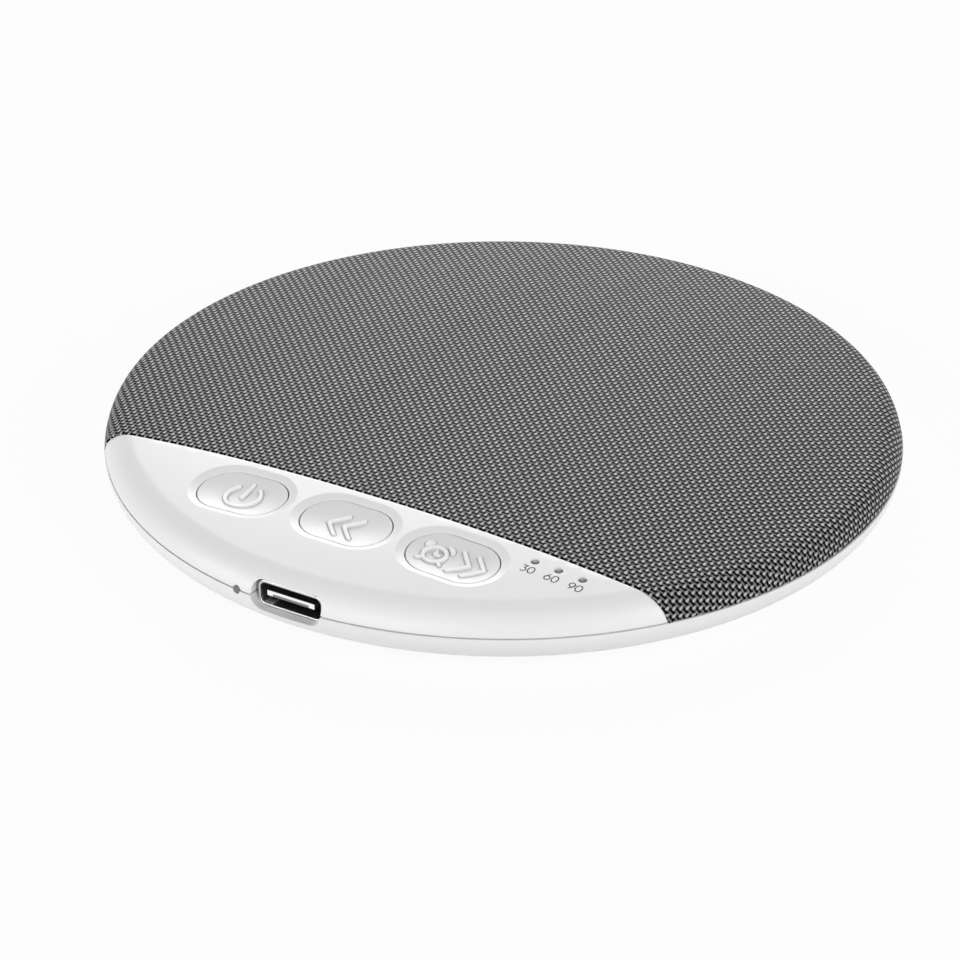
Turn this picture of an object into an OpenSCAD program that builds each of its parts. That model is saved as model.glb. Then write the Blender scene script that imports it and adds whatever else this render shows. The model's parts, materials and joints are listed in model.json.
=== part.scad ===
// Slim round sound machine: a domed disc with a cloth-covered speaker grille, a white
// control panel with three dished keys along its front, and a USB-C socket in its rim.
// Millimetres, +Z up. The origin is the centre of the base, on the plane that the feet
// stand on. The panel faces -Y, and X runs along the straight edge of the grille.

/* [Body] */
// Outside diameter at the seam
body_d = 105; // [104:0.5:108]
// Height of the seam above the base of the shell
seam_h = 4.6; // [4.5:0.05:4.7]
// Height at which the upper side starts to round over
shoulder_h = 4.2; // [4.15:0.05:4.3]
// Radius of the rounded upper edge
edge_r = 3.8; // [3.7:0.05:3.9]
// Radius of the outer part of the dome
dome_r = 207; // [200:1:215]
// Radius of the flatter crown in the middle of the dome
crown_r = 640; // [600:10:700]
// Diameter of the crown
crown_d = 50; // [48:1:52]
// Radius of the lower side, just under the seam
side_r = 4.14; // [4.05:0.05:4.2]

/* [Walls] */
// Thickness of the lower shell
wall = 1.3; // [1.2:0.05:1.4]
// Thickness of the control panel
panel_t = 1.6; // [1.5:0.05:1.7]
// Thickness of the deck under the grille
deck_t = 1; // [0.9:0.05:1.1]
// Width of the shadow gap along the seam
seam_gap = 0.2; // [0.1:0.05:0.3]

/* [Grille] */
// Distance from the centre to the straight edge of the grille
chord_y = 31.45; // [31.2:0.05:31.7]
// Thickness of the cloth
cloth_t = 0.45; // [0.4:0.05:0.5]
// Thickness of the grille plate
plate_t = 1.2; // [1.1:0.05:1.3]
// Diameter of one sound hole
sound_hole_d = 2.6; // [2:0.1:3]
// Distance between the rings of sound holes
sound_ring = 4.4; // [4.2:0.1:4.6]

/* [Keys] */
// Distance of the row of keys from the centre
key_y = 37.76; // [37.6:0.02:37.9]
// Distance between two keys
key_pitch = 15.5; // [15.3:0.1:15.7]
// Sideways place of the middle key
key_shift = -0.36; // [-0.6:0.02:-0.1]
// Length of the dish around a key
dish_l = 14.5; // [14.2:0.1:14.7]
// Width of the dish around a key
dish_w = 10.25; // [10:0.05:10.4]
// Depth of the dish in the middle
dish_depth = 0.68; // [0.6:0.02:0.76]
// Length of a key cap
cap_l = 12.2; // [12:0.1:12.4]
// Width of a key cap
cap_w = 8.1; // [7.9:0.1:8.3]
// Gap around a key cap
cap_gap = 0.15; // [0.1:0.05:0.2]
// Travel of a key
key_travel = 0.4; // [0.3:0.05:0.4]

/* [Timer lights] */
// Distance of the timer lights from the centre
light_y = 33.7; // [33.5:0.1:33.9]
// Sideways place of the middle timer light
light_x = 27.77; // [27.61:0.02:27.91]
// Distance between two timer lights
light_pitch = 3.34; // [3.3:0.02:3.4]
// Diameter of a timer light
light_d = 1.1; // [1:0.05:1.2]
// How far the end of a light lies below the panel
light_set = 0.35; // [0.25:0.05:0.45]

/* [Socket] */
// Width of the opening for the charging plug
mouth_w = 10.15; // [10:0.05:10.3]
// Height of the opening for the charging plug
mouth_h = 3.8; // [3.7:0.05:3.9]
// Height of the middle of the opening above the base of the shell
mouth_z = 4.83; // [4.8:0.01:4.86]
// Depth from the rim to the metal shell of the socket
mouth_depth = 1.4; // [1.2:0.1:1.6]
// Sideways place of the charge light
charge_x = -7.3; // [-7.5:0.1:-7.2]
// Diameter of the charge light
charge_d = 1; // [0.9:0.05:1.1]

/* [Speaker] */
// Distance of the speaker behind the centre
speaker_y = 17; // [16:0.5:17]
// Outside diameter of the speaker
speaker_d = 40; // [39:0.5:40.5]
// Travel of the cone each way
cone_travel = 0.3; // [0.2:0.05:0.3]

/* [Battery] */
// Length of the cell
cell_l = 48; // [40:1:48]
// Width of the cell
cell_w = 17; // [15:0.5:17]
// Thickness of the cell
cell_t = 4; // [3:0.1:4.2]

/* [Feet] */
// Diameter of a foot
foot_d = 8.2; // [7:0.1:8.4]
// How far a foot stands out below the base
foot_proud = 0.4; // [0.3:0.05:0.5]

/* [Hidden] */
$fn = 64;

// Body outline
big_fn = 1440;
far = 200;
tall = 20;
body_r = body_d / 2;
base_z = foot_proud;
seam_z = base_z + seam_h;
blend_a = 60;
under_r = (seam_h - side_r * sin(blend_a)) / (1 - sin(blend_a));
side_x = body_r - side_r;
base_r = side_x + (side_r - under_r) * cos(blend_a);
edge_x = body_r - edge_r;
edge_z = base_z + shoulder_h;
crown_x = crown_d / 2;
crown_a = asin(crown_x / crown_r);
dome_x = crown_x * (1 - dome_r / crown_r);
dome_z = edge_z - sqrt(pow(dome_r - edge_r, 2) - pow(edge_x - dome_x, 2));
crown_z = dome_z - (crown_r - dome_r) * cos(crown_a);
edge_a = asin((edge_x - dome_x) / (dome_r - edge_r));

// Seam, lip and the depth of the layers under the skin
lip_out = panel_t + 0.3;
lip_in = lip_out + 0.85;
lip_h = 0.8;
lip_play = 0.15;
rim_h = 1.2;
groove_depth = 0.8;
deck_in = cloth_t + plate_t;
deck_low = deck_in + deck_t;
floor_z = base_z + wall;
rib_t = 0.8;
deck_rib_at = [22.5:45:337.5];
deck_rib_l = 22;

// Keys
key_names = ["power", "previous", "timer"];
key_count = len(key_names);
key_xs = [for (i = [0:key_count - 1]) key_shift + (i - 1) * key_pitch];
key_seat_z = base_z + 6.5;
flange_play = 0.05;
flange_t = 0.6;
flange_z = key_seat_z - flange_play - flange_t;
flange_grow = 0.95;
cap_roof = 1.3;
cap_wall = 1;
post_d = 3;

// Circuit board and what stands on it
board_t = 1;
board_z = base_z + 3.2;
board_r = 49.3;
board_back = 23.6;
switch_l = 4.6;
switch_h = 1.55;
plunger_d = 2.4;
plunger_top = board_z + 2.1;
plunger_play = 0.05;
led_h = 0.6;
board_screw_at = [[-34, -27], [34, -27], [-10.5, -45], [10.5, -45]];
board_screw_d = 1.6;
board_head_d = 3;
board_head_h = 0.7;

// Socket
usb_w = 8.94;
usb_h = 3.2;
usb_l = 7.35;
usb_t = 0.3;
usb_z = base_z + mouth_z;
usb_y = mouth_depth - body_r;
tongue_w = 6.7;
tongue_t = 0.7;
tongue_set = 0.65;
insert_l = 2.2;

// Speaker
seat_z = base_z + 6.6;
gasket_t = 0.5;
seat_w = 2.4;
speaker_r = speaker_d / 2;
speaker_top = seat_z - gasket_t;
frame_t = 0.6;
yoke_r = 10.4;
yoke_t = 0.8;
yoke_z = base_z + 1.7;
yoke_h = 2.6;
pole_r = 8;
pole_t = 0.8;
coil_r = 8.5;
coil_t = 0.5;
coil_z = yoke_z + yoke_t + cone_travel + 0.2;
cone_z = base_z + 5;
cone_rim_z = base_z + 5.55;
cone_r = 15.4;
cone_t = 0.3;
surround_r = 18.2;

// Battery
cell_y = -13;
pad_t = 0.3;
cell_z = floor_z + pad_t;

// Screws that close the case, each behind a foot
foot_at = [[-33, -18], [33, -18], [-33, 22], [33, 22]];
foot_recess = 0.8;
foot_gap = 0.1;
post_top = base_z + 3.4;
well_top = base_z + 2;
well_d = 4.4;
screw_d = 2;
screw_l = 4;
head_d = 3.8;
head_h = 1.1;

// Height of the skin, or of a layer under it, at a radius
function skin_z(r, inset = 0) =
    r < (crown_r - inset) * sin(crown_a)
        ? crown_z + sqrt(pow(crown_r - inset, 2) - r * r)
        : r < edge_x + (edge_r - inset) * sin(edge_a)
            ? dome_z + sqrt(pow(dome_r - inset, 2) - pow(r - dome_x, 2))
            : edge_z + sqrt(pow(edge_r - inset, 2) - pow(r - edge_x, 2));

// Half section under the upper skin, moved in by inset, down to z0
module upper_section(inset, z0) {
    crown_end = (crown_r - inset) * sin(crown_a);
    dome_end = edge_x + (edge_r - inset) * sin(edge_a);
    side_end = body_r - inset;
    intersection() {
        translate([0, crown_z]) circle(crown_r - inset, $fn = big_fn);
        translate([0, z0]) square([crown_end, tall]);
    }
    intersection() {
        translate([dome_x, dome_z]) circle(dome_r - inset, $fn = big_fn);
        translate([crown_end, z0]) square([dome_end - crown_end, tall]);
    }
    intersection() {
        translate([edge_x, edge_z]) circle(edge_r - inset, $fn = 96);
        translate([dome_end, max(z0, edge_z)]) square([side_end - dome_end, tall]);
    }
    if (z0 < edge_z) translate([dome_end, z0]) square([side_end - dome_end, edge_z - z0]);
}

// Half section inside the lower skin, moved in by inset, up to the seam
module lower_section(inset) {
    join_z = seam_z - (side_r - inset) * sin(blend_a);
    low_z = base_z + inset;
    translate([0, low_z]) square([base_r, seam_z - low_z]);
    intersection() {
        translate([base_r, base_z + under_r]) circle(under_r - inset, $fn = 192);
        translate([base_r, low_z]) square([under_r, join_z - low_z]);
    }
    translate([base_r, join_z]) square([side_x - base_r, seam_z - join_z]);
    intersection() {
        translate([side_x, seam_z]) circle(side_r - inset, $fn = 192);
        translate([side_x, join_z]) square([side_r, seam_z - join_z]);
    }
}

// Solid of revolution under the upper skin, with its seam under the panel
module upper_solid(inset, z0) {
    rotate([0, 0, -100]) rotate_extrude($fn = 180) upper_section(inset, z0);
}

// Everything on the panel's side of the straight edge, moved by shift
module front_half(shift = 0) {
    translate([-far / 2, -far - chord_y + shift, -tall]) cube([far, far, 3 * tall]);
}

module back_half(shift = 0) {
    translate([-far / 2, shift - chord_y, -tall]) cube([far, far, 3 * tall]);
}

module ring(r_out, r_in, z0, h) {
    translate([0, 0, z0]) difference() {
        cylinder(r = r_out, h = h, $fn = 180);
        translate([0, 0, -1]) cylinder(r = r_in, h = h + 2, $fn = 180);
    }
}

module slot(l, w, h) {
    translate([-(l - w) / 2, 0, 0]) cylinder(d = w, h = h);
    translate([(l - w) / 2, 0, 0]) cylinder(d = w, h = h);
    translate([-(l - w) / 2, -w / 2, 0]) cube([l - w, w, h]);
}

// Slot with its length along X and its depth along Y, for the socket
module socket_bar(w, h, depth, y0) {
    translate([0, y0 + depth, usb_z]) rotate([90, 0, 0]) slot(w, h, depth);
}

module post(at, d, z0, z1) {
    translate([at[0], at[1], z0]) cylinder(d = d, h = z1 - z0, $fn = 32);
}

// Long shallow bowl in the skin, square to the dome at the key's place
module key_dish(x) {
    spot_r = norm([x, key_y]);
    bearing = atan2(-key_y, x);
    lean = asin((spot_r - dome_x) / dome_r);
    half = (dish_l - dish_w) / 2;
    bowl_r = (pow(dish_w / 2, 2) + pow(dish_depth, 2)) / (2 * dish_depth);
    translate([x, -key_y, skin_z(spot_r)])
        rotate([0, 0, bearing])
        rotate([0, lean, 0])
        rotate([0, 0, -bearing])
        translate([0, 0, bowl_r - dish_depth])
        rotate([0, 90, 0])
        rotate([0, 0, 180])
        rotate_extrude($fn = 360) intersection() {
            union() {
                translate([0, half]) circle(bowl_r, $fn = 360);
                translate([0, -half]) circle(bowl_r, $fn = 360);
                translate([0, -half]) square([bowl_r, 2 * half]);
            }
            translate([0, -half - bowl_r]) square([bowl_r, 2 * (half + bowl_r)]);
        }
}

module at_lights() {
    for (i = [-1:1]) translate([light_x + i * light_pitch, -light_y, 0]) children();
}

function light_top(i) = skin_z(norm([light_x + i * light_pitch, light_y]));

module charge_bore(d, y0, y1) {
    translate([charge_x, y1, seam_z]) rotate([90, 0, 0]) cylinder(d = d, h = y1 - y0, $fn = 32);
}

// ---- Case ----

module bottom_shell() {
    color("white") difference() {
        union() {
            rotate_extrude($fn = 180) difference() {
                lower_section(0);
                difference() {
                    lower_section(wall);
                    translate([body_r - lip_in, seam_z - rim_h]) square([lip_in, rim_h + 1]);
                }
            }
            ring(body_r - lip_out, body_r - lip_in, seam_z - rim_h / 2, lip_h + rim_h / 2);
            for (p = foot_at) {
                post(p, foot_d + 2.8, base_z + 0.5, well_top);
                post(p, 7, base_z + 0.5, post_top);
            }
            for (x = key_xs) post([x, -key_y], post_d, base_z + 0.5, board_z - board_t);
            post_ribs();
            battery_fence();
            speaker_fence();
        }
        for (p = foot_at) {
            post(p, foot_d + 2 * foot_gap, -1, base_z + foot_recess);
            post(p, well_d, -1, well_top);
            post(p, screw_d + 0.2, 0, post_top + 1);
        }
        socket_bar(mouth_w, mouth_h, 6, -body_r - 1);
        translate([-6.2, -body_r, seam_z]) cube([12.4, 4, 2]);
        charge_bore(charge_d + 0.04, -body_r - 1, -46);
    }
}

// Ribs that tie each screw post to the side of the shell
module post_ribs() {
    intersection() {
        rotate_extrude($fn = 180) lower_section(wall / 2);
        for (p = foot_at) rotate([0, 0, atan2(p[1], p[0])])
            translate([norm(p), -rib_t / 2, floor_z - 0.1])
                cube([body_r - norm(p), rib_t, well_top - floor_z + 0.1]);
    }
}

module battery_fence() {
    fence_t = 0.8;
    fence_h = 1.4;
    gap = 0.2;
    l = cell_l + 2 * gap;
    w = cell_w + 2 * gap;
    translate([0, cell_y, floor_z - 0.1]) difference() {
        translate([-l / 2 - fence_t, -w / 2 - fence_t, 0])
            cube([l + 2 * fence_t, w + 2 * fence_t, fence_h + 0.1]);
        translate([-l / 2, -w / 2, -1]) cube([l, w, fence_h + 2]);
        translate([-l / 2 + 5, -w, -1]) cube([l - 10, 2 * w, fence_h + 2]);
    }
}

// Low ring that keeps the leads away from the back of the speaker
module speaker_fence() {
    translate([0, speaker_y, 0]) difference() {
        ring(yoke_r + 2, yoke_r + 1.2, floor_z - 0.1, 0.9);
        translate([-1.5, -speaker_r, 0]) cube([3, 2 * speaker_r, tall]);
    }
}

module top_shell() {
    color("white") difference() {
        union() {
            panel_skin();
            grille_deck();
            deck_ribs();
            key_frame();
            speaker_seat();
            case_bosses();
            board_bosses();
            light_sleeves();
        }
        for (x = key_xs) {
            key_dish(x);
            translate([x, -key_y, 0]) slot(cap_l + 2 * cap_gap, cap_w + 2 * cap_gap, tall);
        }
        at_lights() cylinder(d = light_d + 0.04, h = tall, $fn = 32);
        socket_bar(mouth_w, mouth_h, 6, -body_r - 1);
        charge_bore(charge_d + 0.04, -body_r - 1, -46);
        for (p = foot_at) post(p, screw_d, 0, well_top + screw_l + 0.15);
        for (p = board_screw_at) post(p, board_screw_d, 0, board_z + 2.5);
        translate([0, speaker_y, 0]) cylinder(r = speaker_r - seat_w, h = tall, $fn = 96);
        stake_holes();
    }
}

// The white crescent, with the step that makes the shadow gap along the seam
module panel_skin() {
    difference() {
        intersection() {
            upper_solid(0, seam_z);
            front_half();
        }
        intersection() {
            upper_solid(panel_t, seam_z - 1);
            front_half(-deck_t);
        }
        ring(body_r + 1, body_r - groove_depth, seam_z - 1, 1 + seam_gap);
        ring(body_r - panel_t, body_r - lip_in - lip_play, seam_z - 1, 1 + lip_h + lip_play);
        intersection() {
            upper_solid(deck_low, seam_z - 1);
            front_half(1);
        }
    }
}

// Lowered deck that carries the grille
module grille_deck() {
    deck_z = seam_z + lip_h + 0.2;
    difference() {
        intersection() {
            upper_solid(deck_in, deck_z);
            back_half(-deck_t / 2);
        }
        upper_solid(deck_low, deck_z - 1);
    }
}

// Ribs under the deck, level with the speaker's seat, that run out towards the rim
module deck_ribs() {
    intersection() {
        upper_solid(deck_in + deck_t / 2, seat_z);
        translate([0, speaker_y, seat_z]) for (a = deck_rib_at) rotate([0, 0, a])
            translate([speaker_r + rib_t / 2, -rib_t / 2, 0]) cube([deck_rib_l, rib_t, tall]);
    }
}

// Thick pad under the panel, with the flat seat that stops the flanges of the keys
module key_frame() {
    pad_grow = 2.6;
    intersection() {
        upper_solid(panel_t / 2, key_seat_z);
        front_half(-deck_t / 2);
        for (x = key_xs) {
            translate([x, -key_y, key_seat_z]) slot(cap_l + 2 * pad_grow, cap_w + 2 * pad_grow, tall);
        }
    }
}

module speaker_seat() {
    intersection() {
        upper_solid(deck_in + deck_t / 2, seat_z);
        translate([0, speaker_y, seat_z]) cylinder(r = speaker_r + 0.8, h = tall, $fn = 96);
    }
}

module case_bosses() {
    intersection() {
        upper_solid(deck_in + deck_t / 2, post_top);
        for (p = foot_at) post(p, 5.4, post_top, tall);
    }
}

module board_bosses() {
    intersection() {
        upper_solid(deck_in + deck_t / 2, board_z);
        for (p = board_screw_at) post(p, 4, board_z, tall);
    }
    intersection() {
        upper_solid(panel_t / 2, board_z);
        front_half(-deck_t / 2);
        for (p = board_screw_at) post(p, 4, board_z, tall);
    }
}

module light_sleeves() {
    intersection() {
        upper_solid(panel_t / 2, board_z + 1.6);
        front_half(-deck_t / 2);
        at_lights() translate([0, 0, board_z + 1.6]) cylinder(d = light_d + 1.6, h = tall, $fn = 32);
    }
}

// ---- Grille ----

// Where the stakes of the grille plate go through the deck
stake_at = [for (a = [-20, 25, 90, 155, 200]) 45.5 * [cos(a), sin(a)]];
stake_d = 1.8;
stake_head_d = 3;
stake_head_h = 0.5;

module stake_holes() {
    for (p = stake_at) post(p, stake_d + 0.1, 0, tall);
}

function sound_ring_at(n) =
    n == 0
        ? [[0, speaker_y]]
        : [for (i = [0:6 * n - 1]) [0, speaker_y] + n * sound_ring * [cos(60 * i / n), sin(60 * i / n)]];

module grille_plate() {
    color("dimgray") {
        difference() {
            intersection() {
                upper_solid(cloth_t, seam_z + cloth_t);
                back_half(cloth_t);
            }
            upper_solid(deck_in, seam_z - 1);
            for (n = [0:4], p = sound_ring_at(n)) post(p, sound_hole_d, 0, tall);
        }
        for (p = stake_at) {
            head_z = skin_z(norm(p), deck_low) - stake_head_h - 0.15;
            difference() {
                post(p, stake_d, head_z, tall);
                difference() {
                    translate([0, 0, -tall]) cylinder(r = far, h = 3 * tall);
                    upper_solid(deck_in - 0.3, -1);
                }
            }
            post(p, stake_head_d, head_z, head_z + stake_head_h);
        }
    }
}

// Cloth drawn over the plate: the face, the turned-in hem and the tuck along the edge
module grille_cloth() {
    color("gray") difference() {
        intersection() {
            upper_solid(0, seam_z);
            back_half();
        }
        intersection() {
            upper_solid(cloth_t, seam_z + cloth_t);
            back_half(cloth_t);
        }
        upper_solid(deck_in, seam_z - 1);
    }
}

// ---- Keys and switches ----

// Hollow cap with a flange, and a rib and a post under its roof. The post rests on the plunger.
module key(x) {
    hollow_l = cap_l - 2 * cap_wall;
    hollow_w = cap_w - 2 * cap_wall;
    roof_z = flange_z + key_pocket_h(x);
    rib_l = cap_l - cap_wall;
    color("whitesmoke") {
        difference() {
            translate([x, -key_y, flange_z]) slot(cap_l, cap_w, tall);
            key_dish(x);
            translate([x, -key_y, flange_z - 1]) slot(hollow_l, hollow_w, key_pocket_h(x) + 1);
        }
        difference() {
            translate([x, -key_y, flange_z])
                slot(cap_l + 2 * flange_grow, cap_w + 2 * flange_grow, flange_t);
            translate([x, -key_y, flange_z - 1]) slot(hollow_l, hollow_w, tall);
        }
        post([x, -key_y], post_d, plunger_top, roof_z + cap_roof / 4);
        translate([x - rib_l / 2, -key_y - rib_t / 2, flange_z])
            cube([rib_l, rib_t, roof_z + cap_roof / 4 - flange_z]);
    }
}

function key_top(x) = skin_z(norm([x, key_y])) - dish_depth;
function key_pocket_h(x) = key_top(x) - cap_roof - flange_z;

module power_key() { key(key_xs[0]); }
module previous_key() { key(key_xs[1]); }
module timer_key() { key(key_xs[2]); }

module plunger(x) {
    color("black") post([x, -key_y], plunger_d, board_z + switch_h - 0.7, plunger_top);
}

module power_plunger() { plunger(key_xs[0]); }
module previous_plunger() { plunger(key_xs[1]); }
module timer_plunger() { plunger(key_xs[2]); }

// Three push switches: a square body with a round well for the plunger and four legs
module switch_bodies() {
    color("silver") for (x = key_xs) translate([x, -key_y, board_z]) difference() {
        union() {
            translate([-switch_l / 2, -switch_l / 2, 0]) cube([switch_l, switch_l, switch_h]);
            for (sx = [-1, 1], sy = [-1, 1])
                translate([sx * (switch_l / 2 + 0.35), sy * 1.5, 0.15]) cube([0.9, 0.7, 0.3], center = true);
        }
        translate([0, 0, 0.3]) cylinder(d = plunger_d + 2 * plunger_play, h = tall, $fn = 32);
    }
}

// ---- Circuit board ----

module main_board() {
    color("darkgreen") difference() {
        translate([0, 0, board_z - board_t]) intersection() {
            cylinder(r = board_r, h = board_t, $fn = 180);
            translate([-far / 2, -far - board_back, -1]) cube([far, far, tall]);
        }
        for (p = board_screw_at) post(p, board_screw_d + 0.3, 0, tall);
        usb_legs(0.1);
    }
}

// One chip: a body on two rows of legs
module chip(at, l, w, h, legs) {
    body_lift = 0.1;
    leg_pitch = l / (legs + 0.5);
    translate([at[0], at[1], board_z]) {
        translate([-l / 2, -w / 2, body_lift]) cube([l, w, h]);
        for (i = [0:legs - 1], s = [-1, 1])
            translate([(i - (legs - 1) / 2) * leg_pitch, s * (w / 2 + 0.2), body_lift + 0.1])
                cube([leg_pitch * 0.45, 0.8, 2 * (body_lift + 0.1)], center = true);
    }
}

module controller_chip() { color("black") chip([-24, -31], 7, 4.4, 1.1, 8); }
module memory_chip() { color("black") chip([-14, -28.6], 4, 3, 1, 4); }
module amplifier_chip() { color("black") chip([13, -28.4], 4.9, 3.9, 1.2, 4); }

module board_capacitors() {
    color("tan") {
        for (x = [-4, -1, 2, 5])
            translate([x, -28, board_z + 0.4]) cube([1.6, 0.8, 0.8], center = true);
        for (x = [20.5, 23.5])
            translate([x, -27.5, board_z + 0.5]) cube([2, 1.25, 1], center = true);
    }
}

// Steel shell of the socket, with four legs through the board
module usb_shell() {
    color("silver") difference() {
        union() {
            socket_bar(usb_w, usb_h, usb_l, usb_y);
            usb_legs(0);
        }
        socket_bar(usb_w - 2 * usb_t, usb_h - 2 * usb_t, usb_l + 2, usb_y - 1);
    }
}

module usb_legs(grow) {
    for (s = [-1, 1], y = [usb_y + 3, usb_y + 6])
        translate([s * (usb_w / 2 - usb_t / 2), y, board_z - 0.2 + usb_h / 4 - 0.25])
            cube([usb_t + 2 * grow, 1.1 + 2 * grow, usb_h / 2 + 1.5 + 2 * grow], center = true);
}

// Moulded insert that closes the back of the socket and carries the contact tongue
module usb_insert() {
    color("black") {
        socket_bar(usb_w - 2 * usb_t, usb_h - 2 * usb_t, insert_l, usb_y + usb_l - insert_l);
        translate([-tongue_w / 2, usb_y + tongue_set, usb_z - tongue_t / 2])
            cube([tongue_w, usb_l - tongue_set - 1, tongue_t]);
    }
}

module timer_leds() {
    color("white") at_lights() translate([0, 0, board_z + led_h / 2]) cube([1.6, 0.8, led_h], center = true);
}

// Clear pins that carry the timer lights up to the panel
module timer_light_guides() {
    color("lightgray") for (i = [-1:1]) {
        at = [light_x + i * light_pitch, -light_y];
        post(at, light_d, board_z + led_h + 0.1, light_top(i) - light_set);
        post(at, light_d + 0.7, board_z + led_h + 0.1, board_z + 1.5);
    }
}

module charge_led() {
    color("white") translate([charge_x, -48, board_z + 0.95]) cube([1.6, 0.8, 1.9], center = true);
}

module charge_light_guide() {
    color("lightgray") charge_bore(charge_d, -body_r + 0.6, -48.4);
}

// ---- Speaker ----

module speaker_turn() {
    translate([0, speaker_y, 0]) rotate_extrude($fn = 96) children();
}

// Pressed basket: flange, sloping wall with four windows, and a floor that holds the yoke
module speaker_frame() {
    floor_top = yoke_z + yoke_h - 0.3;
    ledge_z = cone_rim_z;
    ledge_r = surround_r + 0.4;
    ledge_in = cone_r + 1.9;
    color("dimgray") difference() {
        speaker_turn() polygon([
            [speaker_r, speaker_top],
            [ledge_r, speaker_top],
            [ledge_r, ledge_z],
            [ledge_in, ledge_z],
            [yoke_r + 3.4, floor_top],
            [yoke_r, floor_top],
            [yoke_r, floor_top - frame_t],
            [yoke_r + 3.7, floor_top - frame_t],
            [ledge_in + 0.4, ledge_z - frame_t],
            [speaker_r, ledge_z - frame_t]
        ]);
        for (a = [45:90:315])
            translate([0, speaker_y, floor_top - 1.5]) rotate([0, 0, a])
                translate([yoke_r + 1, -4.5, 0]) cube([4.6, 9, 2.6]);
    }
}

module speaker_yoke() {
    color("silver") speaker_turn() polygon([
        [0, yoke_z],
        [yoke_r - 0.4, yoke_z],
        [yoke_r, yoke_z + 0.4],
        [yoke_r, yoke_z + yoke_h],
        [yoke_r - yoke_t, yoke_z + yoke_h],
        [yoke_r - yoke_t, yoke_z + yoke_t],
        [0, yoke_z + yoke_t]
    ]);
}

module speaker_magnet() {
    magnet_h = yoke_h - yoke_t - pole_t;
    color("gray") translate([0, speaker_y, yoke_z + yoke_t]) cylinder(r = pole_r - 0.2, h = magnet_h);
}

module pole_plate() {
    color("silver") translate([0, speaker_y, yoke_z + yoke_h - pole_t]) cylinder(r = pole_r, h = pole_t);
}

module voice_coil() {
    color("chocolate") translate([0, speaker_y, 0]) ring(coil_r + coil_t, coil_r, coil_z, cone_z - coil_z);
}

// Paper cone with its dust cap, from the coil out to the surround
module speaker_cone() {
    cap_h = 1.1;
    cap_r = (pow(coil_r, 2) + pow(cap_h, 2)) / (2 * cap_h);
    color("black") {
        speaker_turn() polygon([
            [coil_r, cone_z],
            [coil_r + coil_t + 0.2, cone_z],
            [cone_r - 0.6, cone_rim_z - cone_t],
            [cone_r, cone_rim_z - cone_t],
            [cone_r, cone_rim_z],
            [cone_r - 0.7, cone_rim_z],
            [coil_r + coil_t, cone_z + cone_t + 0.1],
            [coil_r, cone_z + cone_t + 0.1]
        ]);
        speaker_turn() difference() {
            intersection() {
                translate([0, cone_z + cap_h + cone_t - cap_r]) circle(cap_r, $fn = 360);
                translate([0, cone_z + cone_t]) square([coil_r + 0.3, tall]);
            }
            translate([0, cone_z + cap_h + cone_t - cap_r]) circle(cap_r - cone_t, $fn = 360);
        }
    }
}

// Half-round rubber roll between the cone and the frame
module cone_surround() {
    roll_x = (cone_r + surround_r) / 2 - 0.3;
    roll_r = (surround_r - cone_r) / 2 - 0.3;
    skin = 0.25;
    color("black") speaker_turn() {
        difference() {
            intersection() {
                translate([roll_x, cone_rim_z]) circle(roll_r);
                translate([cone_r - 1, cone_rim_z]) square([speaker_r, tall]);
            }
            translate([roll_x, cone_rim_z]) circle(roll_r - skin);
        }
        translate([cone_r - 0.6, cone_rim_z]) square([roll_x - roll_r + skin / 2 - cone_r + 0.6, skin]);
        translate([roll_x + roll_r - skin / 2, cone_rim_z]) square([0.8, skin]);
    }
}

module speaker_gasket() {
    color("black") translate([0, speaker_y, 0])
        ring(speaker_r, speaker_r - seat_w + 0.4, speaker_top, gasket_t);
}

// ---- Battery and leads ----

module battery_cell() {
    edge = 1.2;
    color("silver") translate([0, cell_y, cell_z]) {
        rotate([90, 0, 90]) translate([0, 0, -cell_l / 2]) linear_extrude(cell_l) {
            translate([-cell_w / 2 + edge, 0]) square([cell_w - 2 * edge, cell_t]);
            translate([-cell_w / 2, edge]) square([cell_w, cell_t - 2 * edge]);
            for (sx = [-1, 1], z = [edge, cell_t - edge])
                translate([sx * (cell_w / 2 - edge), z]) circle(edge, $fn = 24);
        }
    }
}

module battery_pad() {
    color("white") translate([-cell_l / 2 + 4, cell_y - cell_w / 2 + 3, floor_z])
        cube([cell_l - 8, cell_w - 6, pad_t]);
}

lead_r = 0.4;
lead_sides = 8;

// Points on one ring of a lead, square to its run
function lead_ring(p, d) =
    let (ahead = d / norm(d),
         side = cross(ahead, abs(ahead[2]) > 0.8 ? [1, 0, 0] : [0, 0, 1]),
         across = side / norm(side),
         over = cross(across, ahead))
    [for (k = [0:lead_sides - 1])
        p + lead_r * (cos(360 * k / lead_sides) * across + sin(360 * k / lead_sides) * over)];

// Point on the curve that rounds the corners of a route
function route_point(route, t) =
    let (n = len(route) - 1,
         i = min(floor(t * n), n - 1),
         f = t * n - i,
         a = route[max(i - 1, 0)], b = route[i], c = route[i + 1], d = route[min(i + 2, n)])
    b + 0.5 * f * (c - a + f * (2 * a - 5 * b + 4 * c - d + f * (3 * (b - c) + d - a)));

module lead(route) {
    rings = 6 * (len(route) - 1);
    spots = [for (i = [0:rings]) route_point(route, i / rings)];
    points = [for (i = [0:rings], q = lead_ring(spots[i],
        spots[min(i + 1, rings)] - spots[max(i - 1, 0)])) q];
    sides = [for (i = [0:rings - 1], k = [0:lead_sides - 1])
        let (k2 = (k + 1) % lead_sides)
        [i * lead_sides + k, i * lead_sides + k2, (i + 1) * lead_sides + k2, (i + 1) * lead_sides + k]];
    start = [[for (k = [lead_sides - 1:-1:0]) k]];
    end = [[for (k = [0:lead_sides - 1]) rings * lead_sides + k]];
    polyhedron(points, concat(sides, start, end), convexity = 4);
}

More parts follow.
